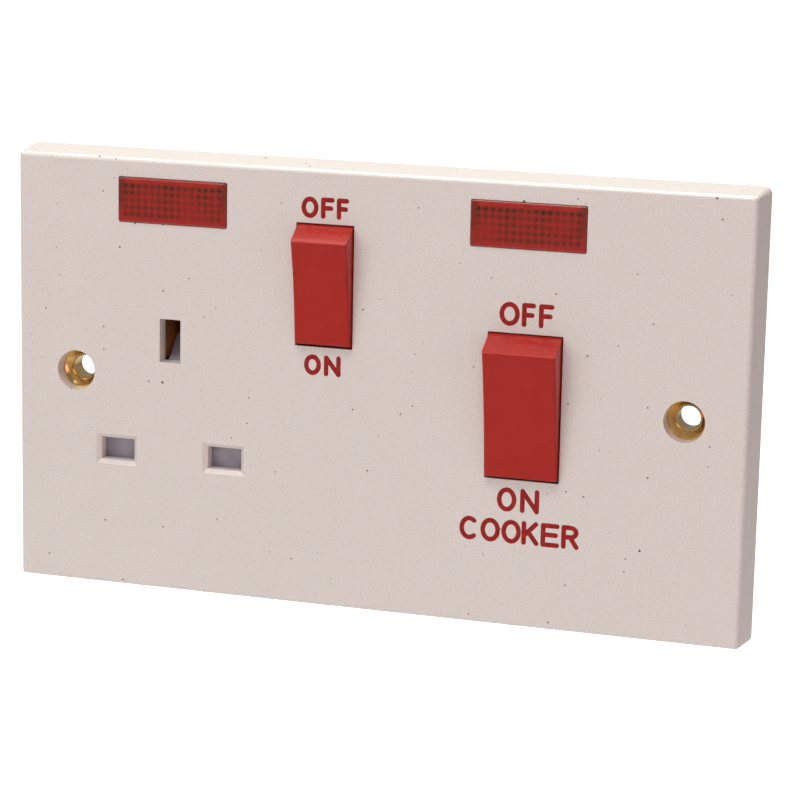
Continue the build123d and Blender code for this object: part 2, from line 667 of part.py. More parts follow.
def floor_strip(x, z_low, z_high):
    """A brass strip let into a chamber's floor."""
    half = SEESAW_W / 2
    return slab(x - half, x + half, CHAMBER_FLOOR_Y - STRIP_T, CHAMBER_FLOOR_Y, z_low, z_high)


def fixed_contact(switch, pole, tail_back, strip_end):
    """A strip with a contact button, a tail behind it and an end towards its terminal."""
    x, z = switch["x"] + pole, switch["z"]
    back = CHAMBER_FLOOR_Y - STRIP_T
    strip = floor_strip(x, z + TAIL_OFFSET - TAIL_T, z + strip_end)
    strip += rod_y(x, z + closed_contact_z(), CONTACT_D, closed_contact_y(), back)
    return strip + tail(x, z + TAIL_OFFSET, back, tail_back)


def fulcrum(switch, pole, strip_end, tail_back=None):
    """A strip with the upright knife edge that the see-saw rocks on."""
    x, z = switch["x"] + pole, switch["z"]
    half = SEESAW_W / 2 - KNIFE_R
    strip = floor_strip(x, z + strip_end, z + 2 * KNIFE_R)
    strip += slab(x - half, x + half, SEESAW_Y, CHAMBER_FLOOR_Y, z - KNIFE_R, z + KNIFE_R)
    strip += rod_x(SEESAW_Y, z, 2 * KNIFE_R, x - half, x + half)
    return strip + tail(x, z - TAIL_OFFSET, CHAMBER_FLOOR_Y - STRIP_T, tail_back) if tail_back else strip


# Rear bases

def switch_chamber(switch):
    """The space in a base for a switch's see-saws, open at the front, with a barrier between two poles."""
    x, z = switch["x"], switch["z"]
    width = switch["slot_w"] + 2 * ROCKER_SIDE_RELIEF
    chamber = prism(x, z, width, 2 * CHAMBER_HALF, BASE_Y, CHAMBER_FLOOR_Y)
    if len(switch["poles"]) > 1:
        chamber -= prism(x, z, BARRIER_T, 2 * CHAMBER_HALF, SEESAW_Y - BARRIER_RISE, CHAMBER_FLOOR_Y)
    return chamber


def tail_slot(x, z, front_y, back_y=BASE_REAR_Y):
    """The slot that a tail passes through a base's floor by."""
    return prism(x, z, TAIL_W + 2 * TAIL_FIT, TAIL_T + 2 * TAIL_FIT, front_y, back_y)


def hinge_saddles(switch):
    """Two posts that rise into the plate's notches and hold the rocker's trunnions from behind."""
    x, z = switch["x"], switch["z"]
    inner = switch["slot_w"] / 2 + ROCKER_SIDE_RELIEF
    posts = Part()
    for side in (-1, 1):
        left, right = sorted((x + side * inner, x + side * (inner + COLLAR_T)))
        posts += slab(left, right, HINGE_Y, FLANGE_REAR_Y, z - TRUNNION_D / 2, z + TRUNNION_D / 2)
    reach = inner + COLLAR_T
    return posts - rod_x(HINGE_Y, z, TRUNNION_D + 2 * TRUNNION_FIT, x - reach, x + reach)


def base_screw_hole(x, z):
    return rod_y(x, z, BASE_SCREW_D + 2 * SCREW_HEAD_GAP, BASE_Y, FLANGE_REAR_Y)


def terminal_z(end):
    """Height of the cooker terminals: above the chamber for the supply, below it for the load."""
    return COOKER_SWITCH["z"] + end * (CHAMBER_HALF + BASE_WALL + TERMINAL_GAP + TERMINAL_L / 2)


def terminal_pocket(x, end):
    """A pocket for a terminal, open behind, with a slot for its strip and an entry for the conductor."""
    z = terminal_z(end)
    width, length = TERMINAL_W + 2 * TERMINAL_GAP, TERMINAL_L + 2 * TERMINAL_GAP
    pocket = prism(x, z, width, length, CHAMBER_FLOOR_Y - STRIP_T, BASE_BACK_Y)
    far = COOKER_SWITCH["z"] + end * COOKER_BASE_HALF_H
    low, high = sorted((z, far))
    return pocket + rod_z(x, CHAMBER_FLOOR_Y + TERMINAL_D / 2, CONDUCTOR_ENTRY_D, low, high)


def cooker_base_cores():
    """The hollows behind the chamber, beside it and before the terminals, and the links' way out."""
    x, z = COOKER_SWITCH["x"], COOKER_SWITCH["z"]
    inner_half = COOKER_BASE_HALF_W - BASE_WALL
    chamber_half = COOKER_SWITCH["slot_w"] / 2 + ROCKER_SIDE_RELIEF + COLLAR_T
    core_w = inner_half - chamber_half
    core_h = COOKER_BASE_HALF_H - CHAMBER_HALF - 2 * BASE_WALL
    cores = prism(x, z, 2 * inner_half, 2 * CHAMBER_HALF, BASE_REAR_Y, BASE_BACK_Y)
    for side in (-1, 1):
        middle = x + side * (chamber_half + core_w / 2)
        cores += prism(middle, z, core_w, 2 * CHAMBER_HALF, FLANGE_REAR_Y + FLANGE_T, BASE_REAR_Y)
        middle = z + side * (CHAMBER_HALF + COOKER_BASE_HALF_H) / 2
        cores += prism(x, middle, 2 * chamber_half, core_h, BASE_Y, CHAMBER_FLOOR_Y - STRIP_T - BASE_WALL)
    left, middle, half = x - COOKER_BASE_HALF_W, z + TAIL_OFFSET, LINK_W / 2 + TAIL_FIT
    return cores + slab(left, left + BASE_WALL, BASE_REAR_Y, BASE_BACK_Y, middle - half, middle + half)


def strip_channel(x, end):
    """The channel that a strip leaves the cooker switch's chamber by, to reach its terminal."""
    z, half = COOKER_SWITCH["z"], SEESAW_W / 2 + TAIL_FIT
    low, high = sorted((z + end * CHAMBER_HALF, z + end * STRIP_REACH))
    return slab(x - half, x + half, CHAMBER_FLOOR_Y - STRIP_T, CHAMBER_FLOOR_Y, low, high)


def cooker_base():
    """The cooker switch's base: a central chamber between terminal pockets, cored to even walls."""
    x, z = COOKER_SWITCH["x"], COOKER_SWITCH["z"]
    width, height = 2 * COOKER_BASE_HALF_W, 2 * COOKER_BASE_HALF_H
    base = prism(x, z, width, height, BASE_Y, BASE_BACK_Y, BASE_CORNER_R)
    base = base - switch_chamber(COOKER_SWITCH) - cooker_base_cores()
    for pole, offset in zip(COOKER_SWITCH["poles"], (-TERMINAL_OFFSET, TERMINAL_OFFSET)):
        base -= tail_slot(x + pole, z + TAIL_OFFSET, CHAMBER_FLOOR_Y - STRIP_T)
        for end in (-1, 1):
            base -= terminal_pocket(x + offset, end)
            base -= strip_channel(x + pole, end)
    for place in COOKER_BASE_SCREWS:
        base -= base_screw_hole(*place)
        base -= rod_y(*place, BASE_SCREW_HEAD_D + 2 * SCREW_HEAD_GAP, FLANGE_REAR_Y, BASE_BACK_Y)
    return base + hinge_saddles(COOKER_SWITCH)


def socket_flange():
    """The socket base's front flange, cut back on the left where the wall box has its fixing lug."""
    left, right = SOCKET_X - FLANGE_HALF_W, SOCKET_SWITCH["x"] + FLANGE_RIGHT
    flange = slab(left, right, BASE_Y, FLANGE_REAR_Y, FLANGE_BOTTOM_Z, FLANGE_TOP_Z)
    lug_x = -FIXING_SPACING / 2
    flange = fillet(flange.edges().filter_by(Axis.Y), BASE_CORNER_R)
    return flange - slab(left, lug_x + LUG_CLEARANCE, BASE_Y, FLANGE_REAR_Y, -LUG_CLEARANCE, LUG_CLEARANCE)


def socket_blocks():
    """The blocks behind the flange that the contact wells and the switch chamber are sunk into."""
    grow = 2 * WELL_WALL
    width, height = EARTH_WELL_W + grow, EARTH_WELL_H + grow
    blocks = prism(SOCKET_X, EARTH_Z, width, height, BASE_Y, EARTH_REAR_Y, BASE_CORNER_R)
    width, height = PIN_WELL_W + grow, PIN_WELL_H + grow
    for x in PIN_XS:
        blocks += prism(x, PIN_ROW_Z, width, height, BASE_Y, BASE_REAR_Y, BASE_CORNER_R)
    place = (SOCKET_SWITCH["x"], SOCKET_SWITCH["z"])
    width = SOCKET_SWITCH["slot_w"] + 2 * (ROCKER_SIDE_RELIEF + COLLAR_T)
    height = 2 * (CHAMBER_HALF + BASE_WALL)
    return blocks + prism(*place, width, height, BASE_Y, BASE_REAR_Y, BASE_CORNER_R)


def socket_wells():
    """The three contacts' wells with slots for their tails, and the relief for the shutter's ramp."""
    wells = prism(SOCKET_X, EARTH_Z, EARTH_WELL_W, EARTH_WELL_H, BASE_Y, EARTH_WELL_FLOOR_Y)
    wells += tail_slot(SOCKET_X, EARTH_Z, EARTH_WELL_FLOOR_Y, EARTH_REAR_Y)
    for x in PIN_XS:
        wells += prism(x, PIN_ROW_Z, PIN_WELL_W, PIN_WELL_H, BASE_Y, PIN_WELL_FLOOR_Y)
        wells += tail_slot(x, PIN_ROW_Z, PIN_WELL_FLOOR_Y)
    top = EARTH_Z - EARTH_WELL_H / 2
    left, right = SOCKET_X - RAMP_W / 2 - 2 * SHUTTER_FIT, SOCKET_X + RAMP_W / 2 + 2 * SHUTTER_FIT
    return wells + slab(left, right, BASE_Y, BASE_Y + RAMP_RELIEF, top - SHUTTER_TRAVEL, top)


def earth_shelf():
    """The shelf that the two earth terminals stand on."""
    width = 2 * EARTH_TERMINAL_OFFSET + TERMINAL_W
    return prism(SOCKET_X, EARTH_TERMINALS_Z, width, TERMINAL_L, BASE_Y, EARTH_SHELF_Y, BASE_CORNER_R)


def earth_shelf_cores():
    """The hollows in the shelf, open at the front."""
    width, length = TERMINAL_W - 2 * WELL_WALL, TERMINAL_L - 2 * WELL_WALL
    back = EARTH_SHELF_Y - WELL_WALL
    cores = Part()
    for offset in (-EARTH_TERMINAL_OFFSET, EARTH_TERMINAL_OFFSET):
        cores += prism(SOCKET_X + offset, EARTH_TERMINALS_Z, width, length, BASE_Y, back)
    return cores


def link_posts():
    """Two posts that hold the neutral link off the base."""
    posts = Part()
    for x in (CROSSING_X - NEUTRAL_POST_INSET, NEUTRAL_POST_X):
        posts += rod_y(x, NEUTRAL_RUN_Z, NEUTRAL_POST_D, BASE_Y, NEUTRAL_LINK_Y)
    return posts


def shutter_rails():
    """Two rails on the flange that keep the shutter close behind the plate's face."""
    front = INNER_Y + SHUTTER_T + 2 * SHUTTER_FIT
    bottom = SHUTTER_TOP_Z - SHUTTER_BAR_H - SHUTTER_TRAVEL
    rails = Part()
    for side in (-1, 1):
        left, right = sorted(SOCKET_X + side * reach for reach in SHUTTER_RAIL)
        rails += slab(left, right, front, BASE_Y, bottom, SHUTTER_SHOULDER_Z)
    return rails


def socket_base():
    """The socket's base: wells for three contacts, a switch chamber, the earth shelf and the link posts."""
    base = socket_flange() + socket_blocks() + earth_shelf() + link_posts()
    base = base - socket_wells() - earth_shelf_cores() - switch_chamber(SOCKET_SWITCH)
    for offset in (-TAIL_OFFSET, TAIL_OFFSET):
        base -= tail_slot(SOCKET_SWITCH["x"], SOCKET_SWITCH["z"] + offset, CHAMBER_FLOOR_Y - STRIP_T)
    for place in SOCKET_BASE_SCREWS:
        base -= base_screw_hole(*place)
    return base + shutter_rails() + hinge_saddles(SOCKET_SWITCH)


# Shutter

def shutter():
    """The safety shutter: a crossbar over the lower slots, a stem and a ramp for the earth pin to push."""
    front = INNER_Y + SHUTTER_FIT
    back = front + SHUTTER_T
    half = PIN_SPACING / 2 + PIN_SLOT_W / 2 + SHUTTER_BAR_OVER
    bottom = SHUTTER_TOP_Z - SHUTTER_BAR_H
    body = slab(SOCKET_X - half, SOCKET_X + half, front, back, bottom, SHUTTER_TOP_Z)
    body = fillet(body.edges().filter_by(Axis.Y), SHUTTER_CORNER_R)
    half = SHUTTER_STEM_W / 2
    body += slab(SOCKET_X - half, SOCKET_X + half, front, back, SHUTTER_TOP_Z, SHUTTER_SHOULDER_Z)
    corners = [
        (front, SHUTTER_SHOULDER_Z), (front, RAMP_FOOT_Z), (front + RAMP_RISE, RAMP_FOOT_Z + RAMP_RISE),
        (front + RAMP_RISE, RAMP_FOOT_Z + RAMP_RISE - RAMP_T), (back, SHUTTER_SHOULDER_Z),
    ]
    ramp = Plane.YZ * make_face(Polyline(*corners, close=True))
    body += Pos(SOCKET_X, 0, 0) * extrude(ramp, RAMP_W / 2, both=True)
    return body + rod_z(SOCKET_X, spring_y(), SPRING_PEG_D, bottom - SPRING_PEG_LENGTH, bottom)


def spring_y():
    """Depth of the shutter spring's axis."""
    return INNER_Y + SHUTTER_FIT + SHUTTER_T / 2 + SHUTTER_FIT


def shutter_spring():
    length = SHUTTER_TOP_Z - SHUTTER_BAR_H - SPRING_SHELF_Z
    spring = coil_spring(SHUTTER_SPRING_WIRE, SHUTTER_SPRING_D, length, SHUTTER_SPRING_TURNS)
    return Pos(SOCKET_X, spring_y(), SPRING_SHELF_Z) * spring


# Socket contacts

def leaf_line(lip_y, lip_length, leg_length, floor_y, gaps):
    """Centre line of a folded contact, lip to lip, as distances from its middle plane and depths."""
    mouth, grip, root = ((gap + LEAF_T) / 2 for gap in gaps)
    floor, grip_y = floor_y - LEAF_T / 2, lip_y + lip_length
    leaf = [(mouth, lip_y), (grip, grip_y), (grip, grip_y + LEAF_GRIP_LENGTH)]
    leaf += [(root, floor - leg_length), (root, floor)]
    return leaf + [(-away, y) for away, y in reversed(leaf)]


def pin_contact(x, tail_back):
    """A folded brass contact whose two leaves grip a flat pin above and below, flared at their mouths."""
    gaps = (LEAF_MOUTH, LEAF_GRIP, PIN_WELL_H - 2 * (LEAF_T + LEAF_CLEARANCE))
    line = leaf_line(BASE_Y + LEAF_SETBACK, PIN_LIP_LENGTH, PIN_LEG_LENGTH, PIN_WELL_FLOOR_Y, gaps)
    points = [(y, away) for away, y in line]
    body = Pos(x, 0, PIN_ROW_Z) * ribbon(points, LEAF_T, PIN_W, Plane.YZ)
    return body + tail(x, PIN_ROW_Z, PIN_WELL_FLOOR_Y, tail_back)


def earth_contact():
    """The longer contact for the earth pin, which grips its sides; its lips start behind the face."""
    gaps = (EARTH_MOUTH, EARTH_GRIP, EARTH_WELL_W - 2 * (LEAF_T + LEAF_CLEARANCE))
    points = leaf_line(INNER_Y + EARTH_LIP_GAP, EARTH_LIP_LENGTH, EARTH_LEG_LENGTH, EARTH_WELL_FLOOR_Y, gaps)
    body = Pos(SOCKET_X, 0, EARTH_Z) * ribbon(points, LEAF_T, EARTH_PIN_H, Plane.XY)
    return body + tail(SOCKET_X, EARTH_Z, EARTH_WELL_FLOOR_Y, EARTH_BLOCK_BACK_Y + LINK_T + TAIL_STANDOUT)


# Terminals, links and screws

def terminal(x, front_y, z):
    """A brass pillar terminal: a conductor bore up through it and two tapped holes from behind."""
    block = prism(x, z, TERMINAL_W, TERMINAL_L, front_y, front_y + TERMINAL_D, TERMINAL_CORNER_R)
    axis_y = front_y + TERMINAL_D / 2
    block -= rod_z(x, axis_y, TERMINAL_BORE_D, z - TERMINAL_L / 2, z + TERMINAL_L / 2)
    for side in (-0.5, 0.5):
        hole_z = z + side * CLAMP_SCREW_PITCH
        block -= rod_y(x, hole_z, CLAMP_SCREW_D + 2 * SCREW_FIT, axis_y, front_y + TERMINAL_D)
    return block


def clamp_screws(x, front_y, z, seat=0.0):
    """The two screws that clamp a conductor in a terminal, wound out clear of its bore."""
    tip = front_y + (TERMINAL_D + TERMINAL_BORE_D) / 2 + TERMINAL_GAP
    head = front_y + TERMINAL_D + max(seat, CLAMP_HEAD_STANDOFF)
    screws = []
    for side in (-0.5, 0.5):
        hole_z = z + side * CLAMP_SCREW_PITCH
        screw = rod_y(x, hole_z, CLAMP_SCREW_D, tip, head)
        screw += rod_y(x, hole_z, CLAMP_HEAD_D, head, head + CLAMP_HEAD_T)
        screws.append(screw - slotted(x, hole_z, CLAMP_HEAD_D, head + CLAMP_HEAD_T))
    return screws


def slotted(x, z, head_d, back_y):
    """The slot across a screw's head."""
    half, half_w = head_d / 2, SCREW_SLOT_W / 2
    return slab(x - half, x + half, back_y - SCREW_SLOT_DEPTH, back_y, z - half_w, z + half_w)


def base_screw(x, z):
    front = FLANGE_REAR_Y - BASE_SCREW_LENGTH
    screw = rod_y(x, z, BASE_SCREW_D, front, FLANGE_REAR_Y)
    screw += rod_y(x, z, BASE_SCREW_HEAD_D, FLANGE_REAR_Y, FLANGE_REAR_Y + BASE_SCREW_HEAD_T)
    return screw - slotted(x, z, BASE_SCREW_HEAD_D, FLANGE_REAR_Y + BASE_SCREW_HEAD_T)


def link(points, front_y, tails):
    """A flat brass link run behind the bases, with a slot over each tail that it joins."""
    strip = extrude(Plane.XZ.offset(-front_y - LINK_T) * trace(Polyline(*points), LINK_W), LINK_T)
    for x, z in tails:
        strip -= prism(x, z, TAIL_W + 2 * TAIL_FIT, TAIL_T + 2 * TAIL_FIT, front_y, front_y + LINK_T)
    return strip


def line_busbar():
    """Carries the supply's line from the cooker switch to the socket's switch."""
    start = (COOKER_SWITCH["x"] + COOKER_SWITCH["poles"][0], COOKER_SWITCH["z"] + TAIL_OFFSET)
    end = (SOCKET_SWITCH["x"], SOCKET_SWITCH["z"] + TAIL_OFFSET)
    points = [
        (start[0] + LINK_W / 2, start[1]), (CROSSING_X, start[1]),
        (CROSSING_X, end[1]), (end[0] - LINK_W / 2, end[1]),
    ]
    return link(points, BASE_REAR_Y, [start, end])


def switched_line_link():
    """Carries the line from the socket's switch to the line contact."""
    start = (SOCKET_SWITCH["x"], SOCKET_SWITCH["z"] - TAIL_OFFSET)
    end = (PIN_XS[1], PIN_ROW_Z)
    points = [(start[0], start[1] + LINK_W / 2), (start[0], end[1]), (end[0] - LINK_W / 2, end[1])]
    return link(points, BASE_REAR_Y, [start, end])


def neutral_busbar():
    """Carries the supply's neutral from the cooker switch, under the line link, to the neutral contact."""
    start = (COOKER_SWITCH["x"] + COOKER_SWITCH["poles"][1], COOKER_SWITCH["z"] + TAIL_OFFSET)
    end = (PIN_XS[0], PIN_ROW_Z)
    points = [
        (start[0] + LINK_W / 2, start[1]), (CROSSING_X, start[1]), (CROSSING_X, NEUTRAL_RUN_Z),
        (end[0], NEUTRAL_RUN_Z), (end[0], end[1] + LINK_W / 2),
    ]
    return link(points, NEUTRAL_LINK_Y, [start, end])


def earth_strap():
    """A T-shaped strap from the earth contact to the two earth terminals, clamped under their screws."""
    front, back = EARTH_BLOCK_BACK_Y, EARTH_BLOCK_BACK_Y + LINK_T
    low = EARTH_TERMINALS_Z
    strap = link([(SOCKET_X, EARTH_Z + LINK_W / 2), (SOCKET_X, low)], front, [(SOCKET_X, EARTH_Z)])
    half = EARTH_TERMINAL_OFFSET + TERMINAL_W / 2
    strap += slab(SOCKET_X - half, SOCKET_X + half, front, back, low - TERMINAL_L / 2, low + TERMINAL_L / 2)
    for side in (-1, 1):
        x = SOCKET_X + side * EARTH_TERMINAL_OFFSET
        for end in (-0.5, 0.5):
            strap -= rod_y(x, low + end * CLAMP_SCREW_PITCH, CLAMP_SCREW_D + 2 * SCREW_FIT, front, back)
    return strap


def lamp_leads(name):
    """A neon lamp's leads: one through its resistor and one below, both bent down and back to the base."""
    x, z = WINDOW_CENTRES[name]
    y = lamp_y()
    lamp_end = x + LAMP_TIP_X + LAMP_LENGTH
    resistor_end = lamp_end + LAMP_GAP + RESISTOR_LENGTH
    out = x + frame_size(WINDOW_FRAME_T)[0] / 2 + LEAD_OUT
    leads = [bent_wire([(lamp_end, y, z), (lamp_end + LAMP_GAP, y, z)], LEAD_D)]
    for start, exit_x, level in ((resistor_end, out, z), (lamp_end, out - LEAD_STEP, z - LEAD_SPREAD)):
        low = z - LEAD_DROP
        points = [(start, y, level), (exit_x, y, level), (exit_x, y, low), (exit_x, BASE_Y, low)]
        leads.append(bent_wire(points, LEAD_D))
    return leads


def write(name, *solids):
    """Writes one sub-part's file; a group keeps its solids separate."""
    shape = solids[0] if len(solids) == 1 else Compound(children=list(solids))
    export_step(shape, os.path.join("parts", name + ".step"))


def write_pole(prefix, switch, pole):
    """Writes the moving pieces of one pole."""
    write(prefix + "_plunger", plunger(switch, pole))
    write(prefix + "_plunger_spring", plunger_spring(switch, pole))
    write(prefix + "_seesaw", seesaw(switch, pole))


def write_windows():
    for name in WINDOW_CENTRES:
        write("neon_lens_" + name, lens(name))
        write("lamp_holder_" + name, lamp_holder(name))
        write("neon_lamp_" + name, neon_lamp(name))
        write("lamp_resistor_" + name, lamp_resistor(name))
        write("lamp_leads_" + name, *lamp_leads(name))


def write_cooker_poles():
    """Writes the cooker switch's two poles with their contacts and their supply and load terminals."""
    wires = (("line", -TERMINAL_OFFSET, LINK_TAIL_Y), ("neutral", TERMINAL_OFFSET, NEUTRAL_TAIL_Y))
    for pole, (wire, offset, tail_back) in zip(COOKER_SWITCH["poles"], wires):
        write_pole(f"cooker_{wire}", COOKER_SWITCH, pole)
        write(f"cooker_{wire}_fixed_contact", fixed_contact(COOKER_SWITCH, pole, tail_back, STRIP_REACH))
        write(f"cooker_{wire}_fulcrum", fulcrum(COOKER_SWITCH, pole, -STRIP_REACH))
        for role, end in (("supply", 1), ("load", -1)):
            place = (COOKER_SWITCH["x"] + offset, CHAMBER_FLOOR_Y, terminal_z(end))
            write(f"{role}_{wire}_terminal", terminal(*place))
            write(f"{role}_{wire}_screws", *clamp_screws(*place))


def write_socket_pole():
    pole, = SOCKET_SWITCH["poles"]
    write_pole("socket", SOCKET_SWITCH, pole)
    strip_end = closed_contact_z() + CONTACT_D / 2
    write("socket_fixed_contact", fixed_contact(SOCKET_SWITCH, pole, LINK_TAIL_Y, strip_end))
    write("socket_fulcrum", fulcrum(SOCKET_SWITCH, pole, -TAIL_OFFSET - TAIL_T, LINK_TAIL_Y))


def write_socket_contacts():
    write("socket_neutral_contact", pin_contact(PIN_XS[0], NEUTRAL_TAIL_Y))
    write("socket_line_contact", pin_contact(PIN_XS[1], LINK_TAIL_Y))
    write("socket_earth_contact", earth_contact())
    write("shutter", shutter())
    write("shutter_spring", shutter_spring())


def main():
    os.makedirs("parts", exist_ok=True)
    write("faceplate", faceplate())
    write_windows()
    write("socket_base", socket_base())
    write("cooker_base", cooker_base())
    write("base_screws", *[base_screw(*place) for place in SOCKET_BASE_SCREWS + COOKER_BASE_SCREWS])
    write("socket_rocker", rocker(SOCKET_SWITCH))
    write("cooker_rocker", rocker(COOKER_SWITCH))
    write_socket_pole()
    write_cooker_poles()
    write_socket_contacts()
    write("line_busbar", line_busbar())
    write("switched_line_link", switched_line_link())
    write("neutral_busbar", neutral_busbar())
    write("earth_strap", earth_strap())
    for name, side in (("left", -1), ("right", 1)):
        write("screw_bush_" + name, screw_bush(side))
        place = (SOCKET_X + side * EARTH_TERMINAL_OFFSET, EARTH_SHELF_Y, EARTH_TERMINALS_Z)
        write("earth_terminal_" + name, terminal(*place))
        write("earth_screws_" + name, *clamp_screws(*place, LINK_T))


main()
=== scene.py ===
# Cooker control unit: finishes, painted lettering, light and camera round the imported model, all in metres.
import json
import math

import bmesh
import bpy
import numpy as np
from mathutils import Matrix, Vector


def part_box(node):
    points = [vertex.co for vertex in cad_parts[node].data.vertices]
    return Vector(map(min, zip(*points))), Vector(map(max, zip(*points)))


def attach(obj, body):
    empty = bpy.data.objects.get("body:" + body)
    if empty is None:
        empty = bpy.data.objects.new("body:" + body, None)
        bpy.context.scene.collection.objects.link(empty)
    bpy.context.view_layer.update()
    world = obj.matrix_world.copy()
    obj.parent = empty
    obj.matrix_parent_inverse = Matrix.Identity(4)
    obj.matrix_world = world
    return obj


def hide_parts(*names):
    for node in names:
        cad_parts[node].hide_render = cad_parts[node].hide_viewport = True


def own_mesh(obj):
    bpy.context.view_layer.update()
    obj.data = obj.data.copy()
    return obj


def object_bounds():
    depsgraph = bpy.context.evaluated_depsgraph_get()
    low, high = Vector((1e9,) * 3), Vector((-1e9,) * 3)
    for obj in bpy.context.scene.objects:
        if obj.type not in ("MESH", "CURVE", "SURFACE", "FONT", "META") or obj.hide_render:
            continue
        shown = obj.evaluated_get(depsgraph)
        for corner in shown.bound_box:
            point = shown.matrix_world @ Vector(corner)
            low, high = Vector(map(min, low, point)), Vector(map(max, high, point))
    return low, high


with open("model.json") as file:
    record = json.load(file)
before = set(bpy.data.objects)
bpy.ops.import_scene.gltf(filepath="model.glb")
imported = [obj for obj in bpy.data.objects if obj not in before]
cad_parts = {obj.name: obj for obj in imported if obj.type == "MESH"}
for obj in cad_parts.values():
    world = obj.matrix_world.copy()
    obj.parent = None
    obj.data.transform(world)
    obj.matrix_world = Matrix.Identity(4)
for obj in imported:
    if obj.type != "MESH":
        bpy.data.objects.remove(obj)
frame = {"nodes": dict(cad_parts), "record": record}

MM = 0.001
NODES = frame["nodes"]
CAD_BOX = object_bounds()

# Camera, fitted to the plate's outline in the photograph: what it looks at, how far off it stands, its turns
# in radians, its lens in mm and the nearest thing that it sees
CAMERA_TARGET = Vector((3.1385, 0.0, -2.3658)) * MM
CAMERA_DISTANCE = 559.76 * MM
CAMERA_YAW = 0.3032
CAMERA_PITCH = 0.2100
CAMERA_ROLL = 0.0209
CAMERA_LENS = 131.69
CAMERA_NEAREST = 10.0 * MM

# Light: where each softbox stands, its width and height, its watts and its colour
SOFTBOXES = {
    "overhead_softbox": ((-0.15, 0.22, 1.00), (0.9, 0.7), 11.0, (0.96, 1.0, 0.925)),
    "front_softbox": ((-0.80, -1.00, 0.50), (0.9, 0.9), 4.9, (1.0, 0.97, 0.955)),
    "upper_softbox": ((-0.10, -0.45, 1.00), (0.6, 0.3), 5.0, (1.0, 0.98, 0.95)),
    "camera_softbox": ((0.50, -1.20, 0.35), (0.5, 0.5), 1.4, (1.0, 0.96, 0.98)),
    "right_softbox": ((1.10, -0.45, 0.00), (0.3, 0.9), 1.7, (1.0, 0.56, 0.62)),
}

# Walls and floor: their level as light, in reflections, and as the camera sees them
ROOM_LIGHT = 0.24
ROOM_SHINE = 0.30
ROOM_SEEN = 1.0
FLOOR_LIGHT = 0.0
FLOOR_SHINE = 0.0
FLOOR_SEEN = 1.0

# Floor: how far it is below the unit, its side, colour and roughness
FLOOR_DROP = 0.30
FLOOR_SIDE = 12.0
FLOOR_COLOUR = (0.9, 0.9, 0.9, 1.0)
FLOOR_ROUGHNESS = 0.9

# Lettering: the brush stroke's width and how proud the paint stands. Each word has its bottom and top in mm,
# and its letters with their left and right edges.
STROKE = 0.92 * MM
PAINT_T = 0.06 * MM
PLATE_FACE_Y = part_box("faceplate")[0].y
WORDS = {
    "lettering_socket_off": (
        (32.95, 37.00), (("O", -14.30, -10.91), ("F", -10.43, -7.74), ("F", -7.31, -4.87)),
    ),
    "lettering_socket_on": (
        (2.93, 6.95), (("O", -13.35, -9.96), ("N", -9.38, -6.01)),
    ),
    "lettering_cooker_off": (
        (15.35, 19.87), (("O", 24.78, 28.68), ("F", 29.07, 31.75), ("F", 32.32, 35.22)),
    ),
    "lettering_cooker_on": (
        (-20.00, -15.35), (("O", 25.28, 29.08), ("N", 29.78, 33.48)),
    ),
    "lettering_cooker": (
        (-26.10, -21.50),
        (
            ("C", 18.10, 21.69), ("O", 22.23, 26.05), ("O", 26.31, 30.13),
            ("K", 30.22, 33.58), ("E", 33.94, 37.55), ("R", 37.91, 41.32),
        ),
    ),
}

# Straight strokes of the letters, each from and to a share of the letter's width and height
LETTER_LINES = {
    "F": (((0, 1), (1, 1)), ((0, 0.5), (0.86, 0.5))),
    "E": (((0, 1), (1, 1)), ((0, 0.52), (0.9, 0.52)), ((0, 0), (1, 0))),
    "N": (((0, 1), (1, 0)), ((1, 0), (1, 1))),
    "K": (((0, 0.36), (0.94, 1)), ((0.32, 0.6), (1, 0))),
    "R": (((0, 1), (0.5, 1)), ((0, 0.5), (0.5, 0.5)), ((0.5, 0.5), (1, 0))),
}
LETTER_STEM = ((0, 0), (0, 1))

# Meshes: points along and round a stroke, and how near two points are when they are joined
POINTS_ALONG = 33
POINTS_ROUND = 12
SEAM = 1e-7

# Windows: painted shade of the prisms behind the red, as soft dark dots: the step between the dots, their rim
# and heart in steps from a dot's middle, half the width and height of their field, its soft edge, and the
# size of the patches where dots are stronger
DOT_STEP = 1.36 * MM
DOT_RIM = 0.6
DOT_HEART = 0.15
DOT_FIELD = (10.2 * MM, 3.4 * MM)
DOT_FIELD_EDGE = 0.2 * MM
DOT_PATCH = 5.0 * MM

# How strong the dots' painted shade is anywhere, how much more in the top row and in a patch, and how strong
# the painted shade near both sides is
DOT_STRENGTH = 0.3
TOP_ROW_STRENGTH = 0.4
PATCH_STRENGTH = 0.4
SIDE_SHADE_STRENGTH = 0.5

# Where noise, which is 0 to 1 but mostly near 0.5, starts and stops counting
NOISE_LOW = 0.35
NOISE_HIGH = 0.65

# The socket's sprung contacts, which are bronze where the rest is brass
SPRUNG_CONTACTS = ("socket_earth_contact", "socket_line_contact", "socket_neutral_contact")


# Mesh making

def tube_faces(rows, columns, closed):
    """Quads between neighbouring rows of a grid whose columns go round, and between its last and first rows
    if the path is closed."""
    row, column = np.meshgrid(np.arange(rows if closed else rows - 1), np.arange(columns), indexing="ij")
    after, beside = (row + 1) % rows, (column + 1) % columns
    here, beyond = row * columns, after * columns
    corners = (here + column, here + beside, beyond + beside, beyond + column)
    return np.stack(corners, axis=-1).reshape(-1, 4)


